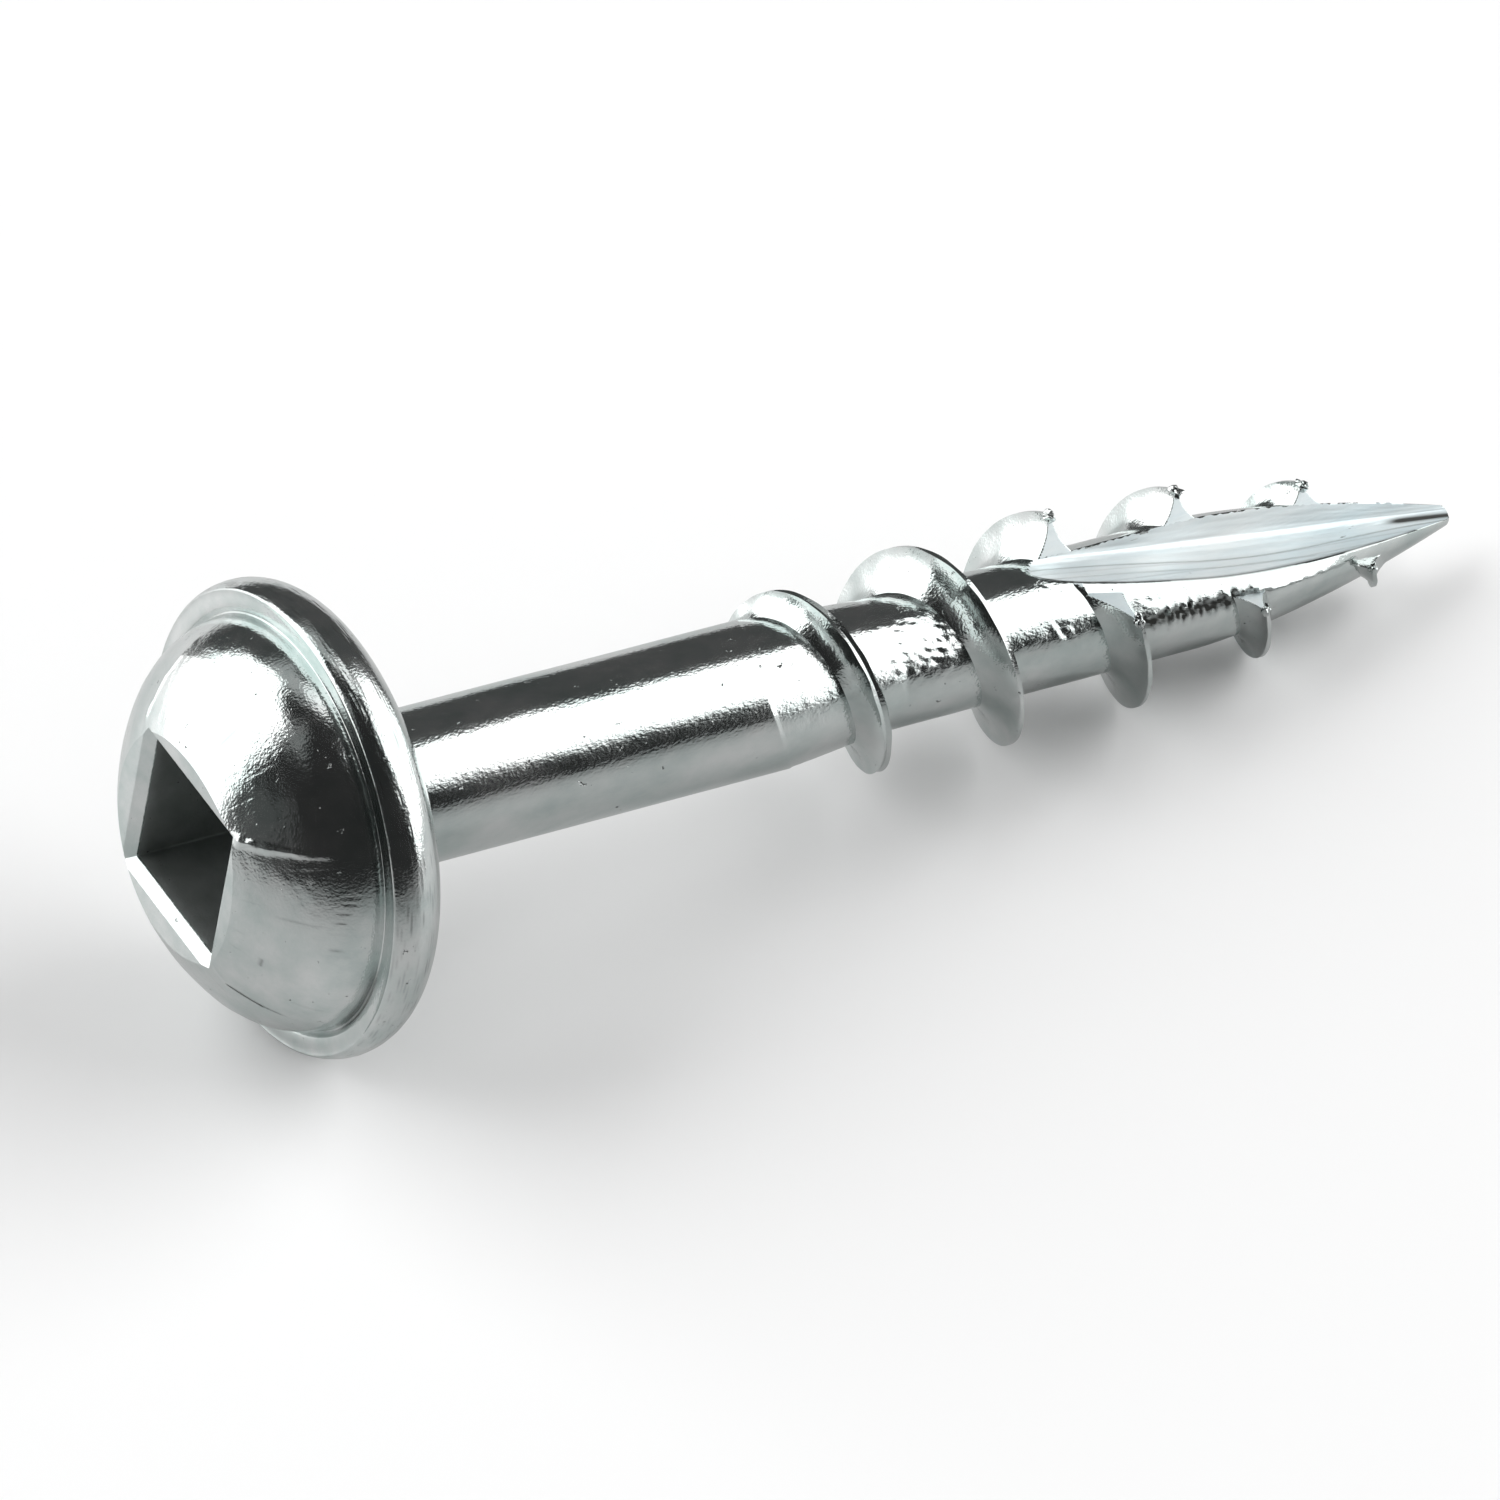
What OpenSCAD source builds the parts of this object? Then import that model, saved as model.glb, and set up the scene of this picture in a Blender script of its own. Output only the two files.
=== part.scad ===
// Pocket hole screw: washer head with a domed top and a square socket,
// smooth shank, coarse right-hand fins and an auger flute down to the point.
// It is one solid piece. It lies on a table as it would come to rest, on the
// flange rim and the fins, with its axis along X and its point towards +X.
// Millimetres. The origin is the middle of the underside of its box.

/* [Head] */
// Width across the flange, measured
flange_d = 9; // [8:0.1:11]
// Thickness of the flange at its rim, measured
flange_t = 1.2; // [1:0.05:1.5]
// Radius of the barrel-rounded rim, measured
rim_round = 0.85; // [0.82:0.01:1.2]
// Width of the flat ring between the rim and the dome, measured
ledge_w = 0.5; // [0.3:0.05:0.8]
// Rise of the dome over the flange if it had no socket, measured
dome_rise = 2.53; // [2.1:0.05:2.8]
// Radius of the ball that the dome is a part of, measured
dome_round = 4.76; // [4.6:0.02:5.2]
// Width of the rounding where the shank meets the flange, guessed
neck_round = 0.25; // [0.15:0.05:0.4]

/* [Socket] */
// Width across the flats of the square drive, measured
socket_af = 2.84; // [2.4:0.01:3]
// Width across the flats at the mouth of the lead-in, measured
mouth_af = 3.3; // [3.1:0.01:3.5]
// Depth of the socket under the corners of its mouth, guessed
socket_depth = 2.5; // [1.6:0.1:2.6]
// Turn of the square about the axis, measured
socket_turn = 5.9; // [0:0.1:45]

/* [Shank] */
// Length under the head, measured
length = 25; // [22:0.5:32]
// Diameter of the smooth shank, measured
shank_d = 2.94; // [2.7:0.02:3.3]
// Length of the smooth shank, measured
shank_l = 8.9; // [7.5:0.1:9.5]
// Diameter between the fins, measured
core_d = 2.52; // [2.3:0.02:2.64]
// Length of the bare point, measured
point_l = 6.3; // [5.5:0.1:7]
// Diameter of the blunt tip, measured
tip_d = 0.36; // [0.3:0.02:0.5]

/* [Thread] */
// Diameter over the fins, measured
thread_d = 4.2; // [3.8:0.05:4.6]
// Distance from one fin to the next, right-handed, measured
pitch = 2.91; // [2.4:0.01:3.3]
// Width of the flat edge of a fin, measured
crest_w = 0.15; // [0.1:0.01:0.24]
// Width of a fin at its foot, measured
foot_w = 0.95; // [0.75:0.05:1.1]
// Turn of the start of the thread about the axis, measured
thread_turn = 138.2; // [0:0.1:360]

/* [Flute] */
// Distance from the bearing face to where the flute starts, measured
flute_from = 15; // [14:0.1:17]
// Angle between the two faces of the flute, measured
flute_angle = 114; // [90:1:120]
// Direction of the flute's root about the axis, measured
flute_turn = 168; // [0:1:360]
// Angle of the first face from the line out of the axis, measured
flute_lean = 11; // [0:1:25]

/* [Hidden] */
$fn = 72;

// The dome is a cap of a ball with a steep cone around its foot
rim_c = flange_d / 2 - rim_round;
rim_z = 0.667 * flange_t;
rim_front = rim_c + sqrt(rim_round * rim_round - pow(flange_t - rim_z, 2));
dome_foot = rim_front - ledge_w;
dome_c = dome_round - dome_rise - flange_t;
wall_rise = 0.8;
wall_in = 0.26;

// The corners of the mouth lie on the dome
mouth_z = dome_c - sqrt(dome_round * dome_round - mouth_af * mouth_af / 2);
lead_in = 0.08;

// Stations along the axis: shank, neck, fins, point
taper_l = 2.9;
thread_from = shank_l + 0.1;
full_at = shank_l + 5.3;
thread_to = length - 1;
thread_fade = length + 0.15;
steps = 32;

// Radius of the solid between the fins: shank, long neck, core, ogive point
function core_r(s) =
    s <= shank_l ? shank_d / 2
    : s <= shank_l + taper_l ? shank_d / 2 - (shank_d - core_d) / 2 * (s - shank_l) / taper_l
    : s <= length - point_l ? core_d / 2
    : core_d / 2 - (core_d - tip_d) / 2 * pow(1 - (length - s) / point_l, 1.6);

// Radius of the fin's edge: it springs from the neck, grows over two turns,
// then fades and sinks into the point
run_in = 1.1;
run_out = 1;
function fin_grown(s) = s < full_at
    ? thread_d / 2 - 0.33 * pow((full_at - s) / (full_at - thread_from), 1.5)
    : thread_d / 2 * (1 - pow((s - full_at) / (thread_fade - full_at), 2.8));
function fin_r(s) = let (
    low = core_r(s) - 0.08,
    grow = s < thread_from + run_in ? 1 - pow(1 - (s - thread_from) / run_in, 2) : 1,
    sink = s > thread_to - run_out ? 1 - pow(1 - (thread_to - s) / run_out, 2) : 1)
    low + (fin_grown(s) - low) * grow * sink;

// Station of the fin's edge at a turning angle about the axis
first_s = shank_l + 0.97;
function fin_s(a) = first_s + pitch * (a - thread_turn) / 360;
function fin_a(s) = thread_turn + 360 * (s - first_s) / pitch;

// The flute's root line starts a hair outside the core and cuts in from there
root_out = 0.05;

// Lying tilt: the line that touches the rounded rim and the lowest fin edge
function lean(s) = let (a = rim_c - fin_r(s), b = s + crest_w / 2 + rim_z)
    atan2(a, b) + asin(rim_round / norm([a, b]));
low_fins = [for (m = [-3 : 14]) let (s = fin_s(360 * m)) if (s > full_at - 3 && s < thread_to - 1) s];
tilt = min([for (s = low_fins) lean(s)]);

// Ends of the box along X, from the mouth of the socket to the tip
box_lo = mouth_z * cos(tilt) - mouth_af / 2 * sin(tilt) - 0.19;
box_hi = length * cos(tilt);
lift = rim_c * cos(tilt) + rim_round - rim_z * sin(tilt);

// A section of the fin, from foot to foot, that turns about the axis
function fin_ring(a) = let (
    s = fin_s(a), r_edge = fin_r(s), r_core = core_r(s),
    r_foot = min(r_core - 0.16, r_edge - 0.1), h = r_edge - r_foot,
    w = foot_w / 2 + 0.1,
    half = [[-w, 0], [-0.42 * w, 0.34 * h], [-crest_w / 2, h],
            [crest_w / 2, h], [0.42 * w, 0.34 * h], [w, 0]])
    [for (q = half) [(r_foot + q[1]) * cos(a), (r_foot + q[1]) * sin(a), s + q[0]]];

module fin() {
    a0 = fin_a(thread_from);
    a1 = fin_a(thread_to);
    n = ceil((a1 - a0) / 360 * steps);
    points = [for (i = [0 : n]) each fin_ring(a0 + (a1 - a0) * i / n)];
    sides = [for (i = [0 : n - 1], j = [0 : 5], t = [0, 1]) let (
        p = 6 * i + j, q = 6 * i + (j + 1) % 6)
        t == 0 ? [p, q, q + 6] : [p, q + 6, p + 6]];
    ends = [for (j = [1 : 4]) each [[0, j + 1, j], [6 * n, 6 * n + j, 6 * n + j + 1]]];
    polyhedron(points = points, faces = concat(sides, ends), convexity = 10);
}

module flange() {
    rotate_extrude()
        intersection() {
            translate([0, -flange_t]) square([flange_d / 2 + 1, flange_t]);
            union() {
                translate([rim_c, -rim_z]) circle(r = rim_round);
                translate([0, -flange_t]) square([rim_c, flange_t]);
            }
        }
}

module dome() {
    over = wall_rise + 3;
    intersection() {
        translate([0, 0, dome_c]) sphere(r = dome_round);
        translate([0, 0, 0.3 - flange_t]) rotate([180, 0, 0])
            cylinder(r1 = dome_foot + wall_in / wall_rise * 0.3, r2 = dome_foot - wall_in / wall_rise * (over - 0.3), h = over);
    }
}

// A square prism with a four-sided lead-in at its mouth
module socket() {
    top = -mouth_z + 2;
    wide = mouth_af / 2 + (mouth_af - socket_af) / 2 / lead_in * 2;
    slope = [[-socket_af / 2, 0], [socket_af / 2, 0], [wide, lead_in + 2], [-wide, lead_in + 2]];
    rotate([0, 0, socket_turn]) {
        translate([-socket_af / 2, -socket_af / 2, mouth_z - 2]) cube([socket_af, socket_af, 2 + socket_depth]);
        translate([0, 0, mouth_z + lead_in]) rotate([180, 0, 0])
            intersection() {
                rotate([90, 0, 0]) translate([0, 0, -top * 3]) linear_extrude(top * 6) polygon(slope);
                rotate([90, 0, 90]) translate([0, 0, -top * 3]) linear_extrude(top * 6) polygon(slope);
            }
    }
}

module head() {
    color("silver")
        difference() {
            union() {
                flange();
                dome();
            }
            socket();
        }
}

// A frustum from one station to another
module length_of(s0, s1, r0, r1) {
    translate([0, 0, s0]) cylinder(r1 = r0, r2 = r1, h = s1 - s0);
}

module shank() {
    n = 6;
    stops = [for (i = [0 : n]) length - point_l * pow(1 - i / n, 1.2)];
    color("gainsboro") {
        length_of(-0.4, shank_l, shank_d / 2, shank_d / 2);
        length_of(0, neck_round, shank_d / 2 + neck_round, shank_d / 2);
        length_of(shank_l, shank_l + taper_l, shank_d / 2, core_d / 2);
        length_of(shank_l + taper_l, stops[0], core_d / 2, core_d / 2);
        for (i = [0 : n - 1])
            length_of(stops[i], stops[i + 1], core_r(stops[i]), core_r(stops[i + 1]));
    }
}

// A long wedge with its edge at the flute's root, sloping into the screw
module wedge(slope) {
    reach = 6;
    first = -flute_lean;
    last = first + flute_angle;
    rotate([0, 0, flute_turn]) translate([core_d / 2 + root_out, 0, flute_from]) rotate([0, -slope, 0])
        translate([0, 0, -length]) linear_extrude(2 * length)
            polygon([[0, 0], reach * [cos(first), sin(first)],
                     reach * 1.4 * [cos((first + last) / 2), sin((first + last) / 2)],
                     reach * [cos(last), sin(last)]]);
}

module flute() {
    intersection() {
        wedge(atan2(core_d / 2, length - flute_from));
        wedge(30);
    }
}

module screw() {
    translate([-(box_lo + box_hi) / 2, 0, lift]) rotate([0, 90 + tilt, 0]) {
        head();
        difference() {
            union() {
                shank();
                color("silver") fin();
            }
            flute();
        }
    }
}

screw();
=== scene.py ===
import math
import bpy
import numpy as np
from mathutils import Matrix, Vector


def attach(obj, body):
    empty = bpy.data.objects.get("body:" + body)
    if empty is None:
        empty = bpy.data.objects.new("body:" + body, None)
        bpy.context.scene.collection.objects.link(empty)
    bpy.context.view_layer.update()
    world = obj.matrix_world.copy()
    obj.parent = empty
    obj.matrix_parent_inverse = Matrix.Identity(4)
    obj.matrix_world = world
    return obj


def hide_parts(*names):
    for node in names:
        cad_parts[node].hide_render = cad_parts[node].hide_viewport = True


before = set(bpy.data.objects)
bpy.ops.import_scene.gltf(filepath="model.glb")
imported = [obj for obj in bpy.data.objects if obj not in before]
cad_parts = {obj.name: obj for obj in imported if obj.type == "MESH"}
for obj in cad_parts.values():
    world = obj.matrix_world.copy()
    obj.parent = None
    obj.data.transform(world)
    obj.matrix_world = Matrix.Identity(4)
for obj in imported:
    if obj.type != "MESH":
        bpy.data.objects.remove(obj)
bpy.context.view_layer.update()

# Camera
# A long lens looks down on the screw from the side of its head, level with
# the horizon, so that the head is at the left and the point at the right.
camera_at = Vector((-0.0925442, -0.1485832, 0.1438388))
camera_looks = Vector((0.404680, 0.661231, -0.631670))
camera_data = bpy.data.cameras.new("long lens")
camera_data.sensor_width = 36
camera_data.lens = 288
camera_data.clip_start = 0.01
camera_data.clip_end = 20
camera = bpy.data.objects.new("camera", camera_data)
camera.location = camera_at
camera.rotation_euler = camera_looks.to_track_quat("-Z", "Y").to_euler()
bpy.context.collection.objects.link(camera)
bpy.context.scene.camera = camera
bpy.context.scene.view_settings.view_transform = "Standard"


# Shank and point
# The plain shank, the core between the fins and the ogive point are one
# rolled steel pin. A two-sided auger flute is milled into its last ten
# millimetres, from the core's skin down to the axis at the tip.
lean_deg = 7.58801
lie_x, lie_z = -10.6409, 4.36235
shank_r, core_r, tip_r = 1.47, 1.26, 0.18
shank_l, neck_l, point_l, length = 8.9, 2.9, 6.3, 25.0
neck_fillet = 0.25
flute_from, flute_turn, flute_lean, flute_open = 15.0, 168.0, 11.0, 114.0
root_out, entry_slope = 0.05, 0.577
nose, die_mark = 0.1, 0.014


def lay(x, y, s):
    """The screw's own millimetres, with s along its axis from the bearing
    face, laid down on the floor and turned to metres in the world's frame."""
    t = math.radians(lean_deg)
    return np.stack([lie_x + math.cos(t) * s - math.sin(t) * x, y,
                     lie_z - math.sin(t) * s - math.cos(t) * x], -1) / 1000


def polar(r, degrees, s):
    """Distance from the axis, turn about it and station along it, laid down."""
    a = np.radians(degrees)
    r, a, s = np.broadcast_arrays(r, a, s)
    return lay(r * np.cos(a), r * np.sin(a), s)


def smooth(x, low, high):
    """Rises from 0 at low to 1 at high along a cubic with level ends."""
    t = np.clip((x - low) / (high - low), 0, 1)
    return t * t * (3 - 2 * t)


def waves(seed, count, *coords):
    """Sum of sine waves with random directions and phases over coordinates
    already divided by the size of one wave, about 1 at its highest."""
    rng = np.random.default_rng(seed)
    total = 0
    for _ in range(count):
        d = rng.normal(size=len(coords))
        d *= rng.uniform(0.6, 1.6) / np.linalg.norm(d)
        total = total + np.sin(2 * math.pi * (sum(k * c for k, c in zip(d, coords)) + rng.uniform()))
    return total / math.sqrt(count) / 1.5


def skin(name, rows, sharp=28, **values):
    """A closed mesh from a grid of points: each row runs round the piece and
    the rows follow each other along it. A fan closes each end. Each named
    grid of values is kept as an attribute of its points."""
    n, m = rows.shape[:2]
    i, j = np.meshgrid(np.arange(n - 1), np.arange(m), indexing="ij")
    k = (j + 1) % m
    quads = np.stack([i * m + j, i * m + k, (i + 1) * m + k, (i + 1) * m + j], -1).reshape(-1, 4)
    j = np.arange(m)
    first = np.stack([np.full(m, n * m), (j + 1) % m, j], -1)
    last = np.stack([np.full(m, n * m + 1), (n - 1) * m + j, (n - 1) * m + (j + 1) % m], -1)
    points = np.concatenate([rows.reshape(-1, 3), rows[0].mean(0)[None], rows[-1].mean(0)[None]])
    mesh = bpy.data.meshes.new(name)
    mesh.from_pydata(points.tolist(), [], quads.tolist() + first.tolist() + last.tolist())
    mesh.shade_smooth()
    mesh.set_sharp_from_angle(angle=math.radians(sharp))
    for key, grid in values.items():
        layer = mesh.attributes.new(key, "FLOAT", "POINT")
        grid = np.broadcast_to(grid, (n, m))
        line = np.concatenate([grid.ravel(), grid[0, :1], grid[-1, :1]])
        layer.data.foreach_set("value", line.astype(np.float32))
    piece = bpy.data.objects.new(name, mesh)
    bpy.context.collection.objects.link(piece)
    return piece


def second_finish(piece, where):
    """Gives the second material to the faces with all corners marked."""
    both = where & np.roll(where, -1, axis=1)
    faces = (both[:-1] & both[1:]).ravel()
    slots = np.zeros(len(piece.data.polygons), np.int32)
    slots[:faces.size] = faces
    piece.data.polygons.foreach_set("material_index", slots)


def core_at(s):
    """Radius between the fins: fillet under the head, plain shank, long cone
    to the core, then an ogive that falls as a power of the way to the tip."""
    short = neck_fillet - np.clip(s, 0, neck_fillet)
    fillet = neck_fillet - np.sqrt(np.maximum(neck_fillet ** 2 - short ** 2, 0))
    cone = shank_r - (shank_r - core_r) * np.clip((s - shank_l) / neck_l, 0, 1)
    point = np.clip(1 - (length - s) / point_l, 0, 1) ** 1.6
    return cone + fillet - (core_r - tip_r) * point


def root_at(s):
    """Distance from the axis to the flute's root line: it comes in at the
    entry slope, then falls evenly to the axis at the tip."""
    return core_r + root_out + np.where(s < flute_from, (flute_from - s) * entry_slope,
                                        core_r * (flute_from - s) / (length - flute_from))


def flute_at(degrees, s):
    """Distance from the axis to the flute's two flat faces: a straight line
    that leaves the root at an angle, met by a ray at the given turn. It is
    endless where the ray meets neither face."""
    root = root_at(s)
    turn = (np.asarray(degrees, float) - flute_turn + 180) % 360 - 180
    g1, g2 = np.radians(flute_lean), np.radians(flute_open - flute_lean)
    t = np.radians(turn)
    reach = np.full(np.broadcast(t, s).shape, 99.0)
    one = (turn <= 0) & (turn > -flute_lean + 0.3)
    two = (turn > 0) & (turn < flute_open - flute_lean - 0.5)
    reach = np.where(one, root * np.sin(g1) / np.sin(np.where(one, g1 + t, 1)), reach)
    return np.where(two, root * np.sin(g2) / np.sin(np.where(two, g2 - t, 1)), reach)


def die_edge(degrees):
    """Station where the rolled neck starts: a cut slanted to the axis, so a
    cosine of the turn, nearest the head at 218 degrees."""
    return 8.66 + 0.75 * (1 - np.cos(np.radians(degrees - 218)))


shank_s = np.concatenate([[-0.4, -0.05], np.linspace(0, 0.25, 8), np.linspace(0.32, 8.2, 44),
                          np.linspace(8.25, 9.6, 42), np.linspace(9.66, 14.9, 88),
                          np.linspace(14.95, 24.9, 150),
                          length - nose + nose * np.sin(np.linspace(0.15, 1.5, 8))])
core = core_at(shank_s)
round_tip = np.sqrt(np.clip(1 - ((shank_s - length + nose) / nose) ** 2, 0.004, 1))
round_tip = np.where(shank_s > length - nose, round_tip, 1)

# Columns of the mesh follow the flute: some for its near face, more for its
# far face, and the rest for the round skin between its two edges
face_2 = flute_open - flute_lean
root = root_at(np.clip(shank_s, flute_from, length))
before = smooth(flute_from - shank_s, 0, 1.2)
edge_1 = np.degrees(np.arcsin(np.clip(root * math.sin(math.radians(flute_lean)) / core, 0, 1))) - flute_lean
edge_2 = face_2 - np.degrees(np.arcsin(np.clip(root * math.sin(math.radians(face_2)) / core, 0, 1)))
edge_1 = np.where(shank_s < flute_from, -0.4 - 12 * before, np.minimum(edge_1, -0.4))
edge_2 = np.where(shank_s < flute_from, face_2 - 90 + 53 * before, edge_2)
around = np.concatenate([np.linspace(0, 1, 14, endpoint=False), np.linspace(1, 2, 56, endpoint=False),
                         np.linspace(2, 3, 186, endpoint=False)])
turn = np.where(around < 1, edge_1[:, None] * (1 - around),
                np.where(around < 2, edge_2[:, None] * (around - 1),
                         edge_2[:, None] + (360 + edge_1 - edge_2)[:, None] * (around - 2))) + flute_turn
across = np.broadcast_to(shank_s[:, None], turn.shape)

# The cone starts at the slanted die edge, with a fine step, and the skin is
# never quite round
late = die_edge(turn) - shank_l
shift = late * smooth(across, 7.5, 8.5) * (1 - smooth(across, 9.4, 12))
radius = core_at(across - shift) * round_tip[:, None]
step_in = smooth(across - die_edge(turn), -0.02, 0.05) * (1 - smooth(across, 10.5, 11.8))
radius = radius - die_mark * step_in
px, py = core_r * np.cos(np.radians(turn)), core_r * np.sin(np.radians(turn))
worked = smooth(across, 9.0, 9.6) * (1 - smooth(across, 18, 20))

# Crumpled spots of the core: station, length, turn, width and depth of each
crumple = 0.0
for at, long, facing, wide, deep in ((12.2, 0.8, 222, 24, 1.5), (15.4, 0.3, 206, 9, 1.6),
                                     (15.3, 0.25, 244, 10, 1.0), (17.0, 0.5, 243, 12, 0.9),
                                     (19.3, 0.9, 250, 9, 0.9)):
    aside = (turn - facing + 180) % 360 - 180
    crumple = crumple + deep * np.exp(-((across - at) / long) ** 2 - (aside / wide) ** 2)
radius = radius + (across > 0.3) * (0.003 * waves(3, 9, px / 0.9, py / 0.9, across / 2.2)
                                    + 0.0022 * worked * waves(4, 12, px / 0.35, py / 0.35, across / 0.4)
                                    + 0.011 * crumple * waves(5, 12, px / 0.24, py / 0.24, across / 0.22))

# The land beside the flute's lower edge is pressed out flat, square to the
# land's turn, and ends in a ragged edge that is torn towards the head
land_turn = 231
torn = 1 - smooth(across, 19.3, 20.3)
brow = 255 - 7 * torn + (1.5 + 2 * torn) * waves(6, 9, across / 0.25) - turn
pressed = (core * smooth(shank_s, 16.6, 17.4) * (1 - smooth(shank_s, 21, 22.5)))[:, None]
pressed = pressed * smooth(brow, -4, 1)
radius = radius + pressed * (1 / np.cos(np.radians(np.clip(turn - land_turn, 0, 25))) - 1)

# The flute, with the distance from its root along either face, the cutter's
# shallow scallops on the far one, a rounded root and a lip on its upper edge
cut = flute_at(turn, across)
bend = (turn - flute_turn + 180) % 360 - 180
far = root_at(across) * np.sin(np.radians(bend)) / np.sin(np.radians(np.clip(face_2 - bend, 3, 177)))
near = root_at(across) * np.sin(np.radians(-bend)) / np.sin(np.radians(np.clip(flute_lean + bend, 0.3, 177)))
off_root = np.where(bend > 0, far, np.clip(near, 0, 3))
bow = np.exp(-((across - 20) / 3.0) ** 2)
scallop = np.where(bend > 0, 0.008 * np.abs(np.sin(np.pi * (off_root - 0.3 * bow) / 0.26)), 0)
fillet = 0.05 * np.clip(1 - off_root / 0.16, 0, 1) ** 2
open_here = cut < radius + 0.002
radius = np.where(open_here, np.maximum(cut - scallop + fillet, 0.004), radius)
off_edge = bend - edge_1[:, None]
lip = np.exp(-(off_edge / 3.5) ** 2) * (off_edge < 0) * (across > 15.6) * (across < 24)
radius = radius + 0.025 * lip

# Dark marks and painted shade: the cutter's lines, the near face darker all
# over, a dark strip on the torn edge of the land, and painted shade in the slit
# at the tip and along the flute's lower edge
lines = [(0.22 + 0.42 * bow, 0.5), (0.4 + 0.25 * bow, 0.2), (0.55 + 0.33 * bow, 0.35), (0.86, 0.25)]
scored = sum(deep * np.exp(-((off_root - at) / 0.02) ** 2) for at, deep in lines) * (bend > 0)
near_face_darker = np.where(bend < 0, 0.16, 0.02) * (1 + waves(7, 9, off_root / 0.1, across / 3))
# Painted shade in the narrow slit that the flute leaves at the tip
painted_slit_shade = 1.2 * np.exp(-((off_root - 0.1) / 0.07) ** 2) * (bend > 0) * smooth(across, 23.3, 23.9)
ragged = 0.9 + 0.6 * waves(11, 9, across / 0.15, turn / 6)
torn_strip = 1.2 * torn * np.exp(-((brow + 6) / 6.5) ** 2) * smooth(across, 16.7, 17) * ragged
# Painted shade: a dark line along the flute's lower edge
painted_edge_shade = 0.8 * np.exp(-((bend - edge_2[:, None]) / 1.3) ** 2) * (across > 15.2) * (across < 24)
# Dark marks plus painted shade, kept as one attribute of the points
shank_wear = open_here * (scored + near_face_darker + painted_slit_shade) + torn_strip + painted_edge_shade
shank = skin("shank_and_point", polar(radius, turn, across), wear=shank_wear)


# Colour, finish and bump of the whole screw: bright zinc plating, a cool thin
# mirror over rolled and upset steel. It shows the studio almost sharply, with
# a fine grain from the plating, faint wear lines, a few dark pits and some
# painted shade, drawn as dark marks.
def linear(code):
    """A colour written as sRGB hex, turned linear."""
    parts = [int(code[i:i + 2], 16) / 255 for i in (0, 2, 4)]
    return [c / 12.92 if c <= 0.04045 else ((c + 0.055) / 1.055) ** 2.4 for c in parts] + [1.0]


def add(tree, kind, inputs=(), **settings):
    """One node with its settings, and its inputs as values or as links."""
    new = tree.nodes.new(kind)
    for key, value in settings.items():
        setattr(new, key, value)
    for key, value in dict(inputs).items():
        if isinstance(value, bpy.types.NodeSocket):
            tree.links.new(value, new.inputs[key])
        else:
            new.inputs[key].default_value = value
    return new


def plating(name, along=1.0, metallic=1.0, pale=("bec8c6", "d9dcdb"), rough=(0.1, 0.17)):
    """Bright zinc: metal, cool light grey. Its own grain, of some thousandths
    of a millimetre, would not show and is drawn at 0.05 mm. Its ripples are
    0.16 mm wide and its dents 0.8 mm, and along stretches all of them with
    the axis. The attribute of wear and painted shade holds lines, rubbed
    spots and painted shade, which are all dull, dark and sunk."""
    material = bpy.data.materials.new(name)
    material.use_nodes = True
    tree = material.node_tree
    shader = tree.nodes["Principled BSDF"]
    shader.inputs["Metallic"].default_value = metallic
    place = add(tree, "ShaderNodeTexCoord").outputs["Object"]
    place = add(tree, "ShaderNodeMapping", {"Vector": place, "Rotation": (0, math.radians(-lean_deg), 0),
                                            "Scale": (1 / along, 1, 1)}).outputs["Vector"]
    noise = {}
    for key, metres, detail, coarse in (("grain", 0.00005, 1.0, 0.5), ("ripple", 0.00016, 2.0, 0.5),
                                        ("dents", 0.0008, 2.0, 0.5), ("cloud", 0.0012, 5.0, 0.62),
                                        ("speck", 0.00022, 3.0, 0.7)):
        noise[key] = add(tree, "ShaderNodeTexNoise", {"Vector": place, "Scale": 1 / metres, "Detail": detail,
                                                      "Roughness": coarse}).outputs["Fac"]
    # The attribute holds both wear and painted shade
    wear = add(tree, "ShaderNodeAttribute", attribute_name="wear").outputs["Fac"]
    tone = add(tree, "ShaderNodeMapRange", {"Value": noise["cloud"], "From Min": 0.35, "From Max": 0.65})
    colour = add(tree, "ShaderNodeMix", {"Factor": tone.outputs["Result"], "A": linear(pale[0]),
                                         "B": linear(pale[1])}, data_type="RGBA")
    spot = add(tree, "ShaderNodeMapRange", {"Value": noise["speck"], "From Min": 0.69, "From Max": 0.75})
    mark_and_painted_shade = add(tree, "ShaderNodeMath", {0: spot.outputs["Result"], 1: wear}, operation="MAXIMUM",
               use_clamp=True).outputs["Value"]
    worn_and_shaded = add(tree, "ShaderNodeMix", {"Factor": mark_and_painted_shade, "A": colour.outputs["Result"], "B": linear("3f403e")},
               data_type="RGBA")
    tree.links.new(worn_and_shaded.outputs["Result"], shader.inputs["Base Color"])
    gloss = add(tree, "ShaderNodeMapRange", {"Value": noise["cloud"], "From Min": 0.3, "From Max": 0.7,
                                             "To Min": rough[0], "To Max": rough[1]})
    dull = add(tree, "ShaderNodeMath", {0: mark_and_painted_shade, 1: 0.3, 2: gloss.outputs["Result"]},
               operation="MULTIPLY_ADD")
    tree.links.new(dull.outputs["Value"], shader.inputs["Roughness"])
    under = {}
    for height, deep, sunk in ((noise["dents"], 0.000012, False), (noise["ripple"], 0.000002, False),
                               (noise["grain"], 0.000004, False), (mark_and_painted_shade, 0.00001, True)):
        bump = add(tree, "ShaderNodeBump", {"Height": height, "Strength": 1.0, "Distance": deep, **under},
                   invert=sunk)
        under = {"Normal": bump.outputs["Normal"]}
    tree.links.new(under["Normal"], shader.inputs["Normal"])
    return material


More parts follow.
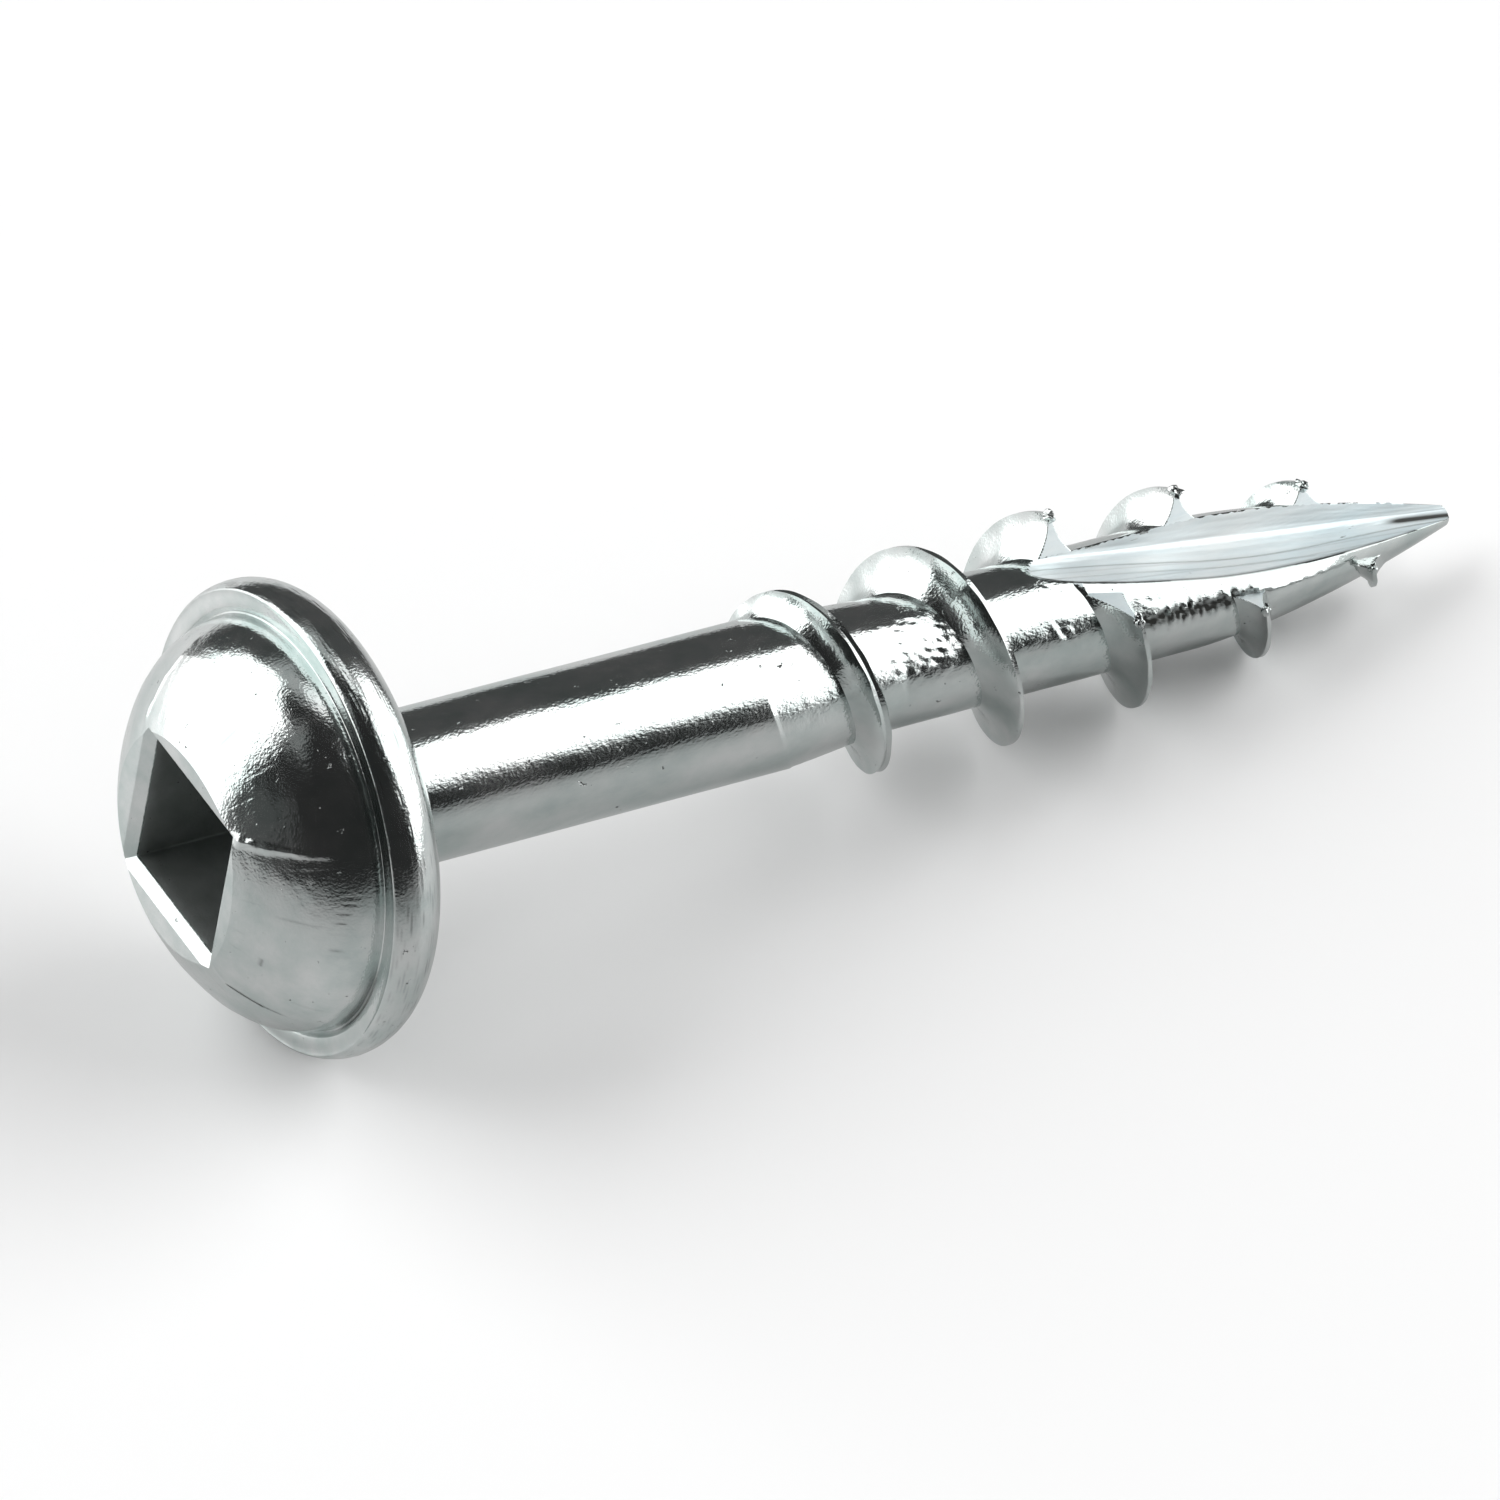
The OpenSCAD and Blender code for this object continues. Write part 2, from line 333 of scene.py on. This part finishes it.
rolled = plating("bright zinc plating on rolled steel", along=1.6)
milled = plating("satin zinc plating on milled steel", along=8, metallic=0.4, pale=("d9e8ec", "f4f9f9"),
                 rough=(0.34, 0.44))
shank.data.materials.append(rolled)
shank.data.materials.append(milled)
second_finish(shank, open_here)
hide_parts("screw")
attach(shank, "root")


# Fins
# The coarse right-hand thread is rolled up from the core as one narrow ridge
# with hollow flanks. It grows out of the cone, and sinks into the point. The
# flute cuts through every turn after the second.
pitch, first_s, thread_turn = 2.91, 9.87, 138.2
fin_r_full, fin_crest, fin_foot = 2.1, 0.09, 0.95
thread_from, thread_full, thread_to, thread_fade = 9.0, 14.2, 24.0, 25.15


def fin_height(s):
    """Radius of the fin's edge: a quick rise out of the cone, slow growth to
    the full size, then a fade as a power of the way to the tip."""
    short = np.clip(thread_full - s, 0, 99) / (thread_full - thread_from)
    past = np.clip(s - thread_full, 0, 99) / (thread_fade - thread_full)
    grown = np.where(s < thread_full, fin_r_full - 0.33 * short ** 1.5, fin_r_full * (1 - past ** 2.8))
    low = core_at(s) - 0.08
    rise = 1 - (1 - np.clip((s - thread_from) / 1.1, 0, 1)) ** 2
    sink = 1 - (1 - np.clip(thread_to - s, 0, 1)) ** 2
    return low + (grown - low) * rise * sink


# Turns of the sections, with more of them where the flute cuts the fins
fin_start = thread_turn + 360 * (thread_from - first_s) / pitch
fin_end = thread_turn + 360 * (thread_to - first_s) / pitch
ring = np.arange(fin_start, fin_end, 2.0)
near = (ring - flute_turn + 180) % 360 - 180
in_flute = first_s + pitch * (ring - thread_turn) / 360 > flute_from
extra = [ring[(near > -12) & (near < 0) & in_flute] + k for k in np.arange(0.1, 1.95, 0.1)]
extra += [ring[(near > 50) & (near < 98) & in_flute] + k for k in np.arange(0.25, 1.9, 0.25)]
ring = np.unique(np.concatenate([ring] + extra))
ring = ring[ring < fin_end]
ring_s = first_s + pitch * (ring - thread_turn) / 360

# Each section runs up one hollow flank, over the crest and down the other;
# the first turn has a wider, dented crest
flank = 21
rise = np.linspace(0, 1, flank)
half = (1 - rise) ** 2.1
outline_h = np.concatenate([rise, [1.0], rise[::-1]])
outline_w = np.concatenate([-half, [0.0], half[::-1]])
side = np.concatenate([-np.ones(flank), [0], np.ones(flank)])
edge_r = fin_height(ring_s) + 0.012 * waves(8, 8, ring / 70, ring_s * 0)
foot_r = np.minimum(core_at(ring_s) - 0.16, edge_r - 0.1)
first_turn = np.exp(-((ring - 270) / 190) ** 2)
crest = (fin_crest + 0.09 * first_turn) / 2 * (1 + 0.22 * waves(9, 8, ring / 30, ring_s * 0))
r = foot_r[:, None] + (edge_r - foot_r)[:, None] * outline_h
wide = outline_w * (fin_foot / 2 + 0.1 - crest[:, None]) + side * crest[:, None]
s = ring_s[:, None] + wide
r[:, flank] -= 0.035 * first_turn

# The flute cuts them a hair under its own faces, and the cutter's exit shears
# them further down, past the flute's lower edge but not below the core
cut = np.maximum(flute_at(ring[:, None] + 0 * s, s) - 0.014, 0.02)
bend = (ring[:, None] - flute_turn + 180) % 360 - 180
face_off = root_at(s) * math.sin(math.radians(face_2)) - 0.12 - 0.25 * smooth(s, 16.5, 19)
sheared = face_off / np.sin(np.radians(np.clip(face_2 - bend, 3, 90)))
leaving = (bend > 40) & (bend < face_2 - 3) & (s > flute_from + 1)
cut = np.where(leaving, np.minimum(cut, np.maximum(sheared, core_at(s) - 0.03)), cut)
sliced = cut < r + 0.002
r = np.minimum(r, cut)
fins = skin("fins", polar(r, ring[:, None], s)[:, ::-1], sharp=35)
fins.data.materials.append(rolled)
fins.data.materials.append(milled)
second_finish(fins, sliced[:, ::-1])
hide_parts("screw")
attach(fins, "root")


# Burrs
# Small curls of steel that the cutter pushed over the edge of each fin where
# the flute meets it, plated with the rest. Each is a ball about a tenth of a
# millimetre in radius, with spikes, sunk into the fin's cut end.
lump_turn, lump_up = np.radians(np.arange(0, 360, 15)), np.radians(np.linspace(-80, 80, 13))[:, None]
out, aside, ahead = np.cos(lump_turn) * np.cos(lump_up), np.sin(lump_turn) * np.cos(lump_up), np.sin(lump_up)
met = np.flatnonzero(sliced[1:, flank] != sliced[:-1, flank])
met = met[(ring_s[met] > 15.6) & (ring_s[met] < 23)]
for number, step in enumerate(met):
    size, long = (0.11, 1.3) if number % 2 == 0 else (0.08, 1.6)
    reach = size * (1 + 0.45 * waves(40 + number, 10, out, aside, ahead))
    burr_r = fin_height(ring_s[step]) - 0.05
    lump = polar(burr_r + reach * out, ring[step] + np.degrees(reach * long * aside / burr_r),
                 ring_s[step] + reach * ahead)
    burr = skin("burr_%d" % (number + 1), lump, sharp=40)
    burr.data.materials.append(rolled)
    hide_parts("screw")
    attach(burr, "root")


# Head
# A washer head cold-formed with the shank: a flat bearing face, a barrel rim
# with a fine burr line, a narrow flat ledge, a domed top with a steep
# shoulder, and a square socket with a shallow four-sided lead-in.
flange_r, rim_c, rim_z, rim_round = 4.5, 3.65, 0.8, 0.85
dome_round, dome_c, tangent_r = 4.76, 1.03, 3.406
shoulder_c, shoulder_z, shoulder_round = 2.12, 1.04, 1.787
socket_half, socket_corner, socket_turn = 1.42, 0.03, 5.9
mouth_h, socket_deep, lead_drop, band_w = 3.1188, 2.5, 0.08, 0.24
columns = 720


def square_at(turn, half, corner):
    """Distance from the axis to a square with rounded corners: a flat side,
    then an arc about a centre on the diagonal."""
    t = np.abs((turn + 45) % 90 - 45)
    t = np.radians(t)
    d = (half - corner) * math.sqrt(2)
    away = math.pi / 4 - t
    arc = d * np.cos(away) + np.sqrt(np.maximum(corner ** 2 - (d * np.sin(away)) ** 2, 0))
    return np.where(half * np.tan(t) <= half - corner, half / np.cos(t), arc)


def lead_in_at(r, turn):
    """Height of the lead-in: it climbs steeply from the edge of the square,
    then almost level, by the distance from the square's own sides."""
    out = r / square_at(turn, 1.0, 0.001) - socket_half
    return mouth_h - lead_drop + 0.7 * np.minimum(out, band_w) + 0.12 * np.maximum(out - band_w, 0)


def along_line(x, y, start, stop, wide):
    """1 on a straight mark and 0 away from it: a bell curve of the distance
    to the line between two points."""
    ux, uy = stop[0] - start[0], stop[1] - start[1]
    t = np.clip(((x - start[0]) * ux + (y - start[1]) * uy) / (ux * ux + uy * uy), 0, 1)
    off = np.hypot(x - start[0] - t * ux, y - start[1] - t * uy)
    return np.exp(-(off / wide) ** 2)


# The mouth is where the lead-in meets the dome, found by halving the way
head_turn = np.arange(columns) * 360 / columns
inner = square_at(head_turn, socket_half, socket_corner)
near, far = inner, inner * 0 + 2.8
for _ in range(30):
    mouth = (near + far) / 2
    under = lead_in_at(mouth, head_turn) < np.sqrt(dome_round ** 2 - mouth ** 2) - dome_c
    near, far = np.where(under, mouth, near), np.where(under, far, mouth)
band = np.minimum((socket_half + band_w) * square_at(head_turn, 1.0, 0.001), mouth - 0.04)

# Rows of the mesh, each a radius and a height: the socket's floor and walls,
# the two slopes of the lead-in, then the dome
floor_h, wall_h = mouth_h - socket_deep, mouth_h - lead_drop - 0.02
rows = [(inner * k, floor_h - 0.05 * (1 - k ** 2)) for k in np.linspace(0.1, 0.97, 8)]
rows += [(inner, floor_h + (wall_h - floor_h) * k) for k in np.linspace(0, 1, 9)]
socket_rows = len(rows)
slopes = [inner + (band - inner) * k for k in (0.05, 0.2, 0.5, 0.8, 0.92, 1.0)]
slopes += [band + (mouth - band) * k for k in (0.06, 0.2, 0.5, 0.8, 0.94, 1.0)]
rows += [(r, lead_in_at(r, head_turn)) for r in slopes]
dome = [mouth + (tangent_r - mouth) * k for k in np.linspace(0.02, 1, 34)]
rows += [(r, -dome_c + np.sqrt(dome_round ** 2 - r ** 2)) for r in dome]

# The steep shoulder, the groove at the dome's foot, the ledge with its burr
# line, the barrel rim and the flat bearing face
rows += [(shoulder_c + shoulder_round * math.cos(a), shoulder_z + shoulder_round * math.sin(a))
         for a in np.radians(np.linspace(41, 5.1, 14))]
rows += [(3.903, 1.18), (3.92, 1.14), (3.95, 1.125), (3.985, 1.145), (4.02, 1.185), (4.06, 1.2),
         (4.16, 1.203), (4.24, 1.2), (4.31, 1.198), (4.34, 1.206), (4.365, 1.214), (4.385, 1.206),
         (4.4, 1.19)]
rows += [(rim_c + rim_round * math.cos(a), rim_z + rim_round * math.sin(a))
         for a in np.radians(np.linspace(25, -70, 40))]
rows += [(3.7, 0.004), (3.3, 0.0), (2.9, 0.0), (2.3, 0.0), (1.75, 0.0), (1.2, 0.0)]
head_r = np.array([np.broadcast_to(r, columns) for r, h in rows])
head_h = np.array([np.broadcast_to(h, columns) for r, h in rows])
turn = np.broadcast_to(head_turn + socket_turn, head_r.shape)
hx, hy = head_r * np.cos(np.radians(turn)), head_r * np.sin(np.radians(turn))

# Forming ridges on the dome: the two ends, width and height of each
front = head_h > 1.25
on_dome = smooth(head_r, mouth, mouth + 0.25) * (1 - smooth(head_r, 3.7, 3.9)) * front
outside = smooth(head_r, mouth - 0.01, mouth + 0.14) * front
ragged = 0.8 + 0.25 * waves(31, 9, hy / 0.3, hx / 0.3)
ridges = [((-1.4, -1.75), (-1.52, -2.5), 0.09, 0.055), ((-1.52, -2.5), (-1.66, -3.2), 0.08, 0.04),
          ((-1.79, 1.72), (-2.43, 1.9), 0.06, 0.03), ((-2.43, 1.9), (-3.05, 1.9), 0.06, 0.02),
          ((1.57, -1.57), (1.95, -1.76), 0.05, 0.015), ((1.4, 1.75), (1.6, 2.4), 0.06, 0.02)]
ridge = 0.0
for start, stop, wide, high in ridges:
    ridge = np.maximum(ridge, high * along_line(hx, hy, start, stop, wide) * outside * ragged)
uneven = 0.004 * waves(21, 9, hx / 1.1, hy / 1.1) + 0.0016 * waves(22, 12, hx / 0.3, hy / 0.3)
head_h = head_h + on_dome * uneven + ridge

# Fine waves on the rim, by the distance round it
on_rim = smooth(head_r, 4.3, 4.42) * (head_h > 0.25)
swept = np.radians(turn) * flange_r
rim_off = on_rim * 0.0035 * waves(23, 14, head_h / 0.08, swept / 1.4)
hx, hy = hx * (1 + rim_off / flange_r), hy * (1 + rim_off / flange_r)

# Wear and painted shade: scratches and dashes by their two ends, width and
# depth, then streaks on the rim, a crescent of painted shade in the groove and
# faint rays on the dome
scratches = [((1.97, -1.76), (2.18, -2.3), 0.03, 1.0), ((2.18, -2.3), (2.26, -2.6), 0.02, 0.7),
             ((0.82, -2.64), (0.96, -2.6), 0.03, 0.5)]
scratches += [((x, -3.63), (x, -3.68), 0.028, 0.35) for x in (-0.94, -0.81, -0.62, -0.43, 0.18)]
marks_and_painted_shade = sum(deep * along_line(hx, hy, start, stop, wide) for start, stop, wide, deep in scratches) * front
marks_and_painted_shade = marks_and_painted_shade + on_rim * 0.5 * np.clip(waves(24, 14, head_h / 0.08, swept / 0.9) - 0.35, 0, 1)
# Painted shade: a dark crescent in one side of the groove at the dome's foot
groove_shade_mask = smooth(turn, 276, 286) * (1 - smooth(turn, 306, 318)) * (head_h > 1)
marks_and_painted_shade = marks_and_painted_shade + 0.7 * np.exp(-((head_r - 3.95) / 0.05) ** 2) * groove_shade_mask
marks_and_painted_shade = marks_and_painted_shade + on_dome * 0.25 * np.clip(waves(25, 14, head_r / 1.5, swept / 0.25) - 0.75, 0, 1)
head = skin("washer_head", lay(hx, hy, -head_h), sharp=32, wear=marks_and_painted_shade)
upset = plating("bright zinc plating on cold-formed steel")
thin = plating("thin dull zinc plating in the socket", metallic=0.85, pale=("9ea3a1", "b4b8b7"),
               rough=(0.28, 0.36))
head.data.materials.append(upset)
head.data.materials.append(thin)
second_finish(head, np.arange(len(rows))[:, None] < socket_rows + 0 * hx)
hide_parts("screw")
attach(head, "root")


# Floor
# A plain pale sheet under the screw, with a faint sheen, that keeps its soft
# shadow. The plating mirrors it with painted shade: darker towards the camera,
# where the light falls off, and along a second direction across the floor.
floor_mesh = bpy.data.meshes.new("floor")
floor_mesh.from_pydata([(-3, -3, 0), (3, -3, 0), (3, 3, 0), (-3, 3, 0)], [], [(0, 1, 2, 3)])
floor = bpy.data.objects.new("floor", floor_mesh)
bpy.context.collection.objects.link(floor)
paper = bpy.data.materials.new("matt white paper")
paper.use_nodes = True
tree = paper.node_tree
shader = tree.nodes["Principled BSDF"]
shader.inputs["Roughness"].default_value = 0.38
shader.inputs["Specular IOR Level"].default_value = 0.5
glossy = add(tree, "ShaderNodeLightPath").outputs["Is Glossy Ray"]
place = add(tree, "ShaderNodeTexCoord").outputs["Object"]
# Painted shade: for mirrored rays only, the paper's colour falls off along two fixed directions on the floor
level = glossy
for toward, low, high in (((0.522, 0.853, 0.0), -0.065, -0.008), ((-0.6, 0.8, 0.0), -0.04, 0.045)):
    depth = add(tree, "ShaderNodeVectorMath", {0: place, 1: toward}, operation="DOT_PRODUCT").outputs["Value"]
    painted_falloff = add(tree, "ShaderNodeMapRange", {"Value": depth, "From Min": low, "From Max": high,
                                            "To Min": 0.32, "To Max": 1.0}).outputs["Result"]
    level = add(tree, "ShaderNodeMath", {0: level, 1: painted_falloff}, operation="MULTIPLY").outputs["Value"]
mirrored_shade = add(tree, "ShaderNodeMix", {"Factor": glossy, "A": 1.0, "B": level}, data_type="FLOAT")
white = add(tree, "ShaderNodeVectorMath", {0: linear("f6f6f6")[:3], "Scale": mirrored_shade.outputs["Result"]},
            operation="SCALE")
tree.links.new(white.outputs["Vector"], shader.inputs["Base Color"])
floor_mesh.materials.append(paper)


# Light tent
# A dark room with two tall white soft boxes, one at the right and one at the
# back left, and a strip overhead that joins them. Only the plating sees it.
def patch(az, el, az_from, az_to, el_from, el_to, soft=5.0):
    """1 inside a box of directions in degrees and 0 outside, with soft sides."""
    middle = (az_from + az_to) / 2
    off = np.abs((az - middle + 180) % 360 - 180)
    reach = (az_to - az_from) / 2
    half_soft = soft / 2
    return ((1 - smooth(off, reach - half_soft, reach + half_soft))
            * smooth(el, el_from - half_soft, el_from + half_soft)
            * (1 - smooth(el, el_to - half_soft, el_to + half_soft)))


# Each part of the cloth: its brightness, its edges in turn and in height, and
# how soft they are, all in degrees. Later ones cover earlier ones.
tent_el, tent_az = np.meshgrid(np.arange(-3, 90, 1.0), np.arange(0, 360, 1.5), indexing="ij")
glow = 0.03 + 0 * tent_az
for level, box, soft in ((0.085, (12, 103, -9, 64), 6), (0.25, (176, 205, 55, 80), 14),
                         (0.1, (172, 200, -9, 30), 12), (1.5, (-8, 62, 68, 80), 6),
                         (0.5, (62, 100, 52, 80), 12), (2.2, (-55, 13, 24, 62), 8),
                         (2.2, (-51, 13, -9, 40), 6), (2.2, (102, 169, -9, 64), 6),
                         (2.2, (97, 140, 30, 66), 6)):
    inside = patch(tent_az, tent_el, *box, soft)
    glow = glow * (1 - inside) + level * inside
e, a = np.radians(tent_el), np.radians(tent_az)
tent_r = 0.2
dome_of_cloth = np.stack([np.cos(e) * np.cos(a) - 0.04, np.cos(e) * np.sin(a), np.sin(e)], -1)
tent = skin("light_tent", tent_r * dome_of_cloth, shine=glow)
cloth = bpy.data.materials.new("tent cloth")
cloth.use_nodes = True
tree = cloth.node_tree
tree.nodes.clear()
value = add(tree, "ShaderNodeAttribute", attribute_name="shine")
emit = add(tree, "ShaderNodeEmission", {"Strength": value.outputs["Fac"]})
add(tree, "ShaderNodeOutputMaterial", {"Surface": emit.outputs["Emission"]})
cloth.cycles.emission_sampling = "NONE"
tent.data.materials.append(cloth)
tent.visible_camera = tent.visible_diffuse = tent.visible_shadow = False
tent.visible_transmission = tent.visible_volume_scatter = False


# Daylight
# A white world fills the shadows. The two soft boxes light the paper from
# where the tent shows them, so that the shadows fall as in the studio.
world = bpy.data.worlds.new("white studio")
bpy.context.scene.world = world
world.use_nodes = True
tree = world.node_tree
tree.nodes.clear()
rays = add(tree, "ShaderNodeLightPath").outputs
seen = rays["Is Camera Ray"]
for kind in ("Is Glossy Ray", "Is Transmission Ray"):
    seen = add(tree, "ShaderNodeMath", {0: seen, 1: rays[kind]}, operation="MAXIMUM").outputs["Value"]
level = add(tree, "ShaderNodeMapRange", {"Value": seen, "To Min": 0.25, "To Max": 1.0})
back = add(tree, "ShaderNodeBackground", {"Strength": level.outputs["Result"]})
add(tree, "ShaderNodeOutputWorld", {"Surface": back.outputs["Background"]})
lamp_away = 0.4
for label, turned, height in (("right soft box", -22, 30), ("back soft box", 135, 32)):
    lamp_data = bpy.data.lights.new(label, "AREA")
    lamp_data.shape = "RECTANGLE"
    lamp_data.size, lamp_data.size_y = 0.5, 0.45
    lamp_data.energy = 2.1
    lamp = bpy.data.objects.new(label, lamp_data)
    a, e = math.radians(turned), math.radians(height)
    lamp.location = (lamp_away * math.cos(e) * math.cos(a), lamp_away * math.cos(e) * math.sin(a),
                     lamp_away * math.sin(e))
    lamp.rotation_euler = (-lamp.location).to_track_quat("-Z", "Y").to_euler()
    lamp.visible_glossy = lamp.visible_camera = False
    bpy.context.collection.objects.link(lamp)
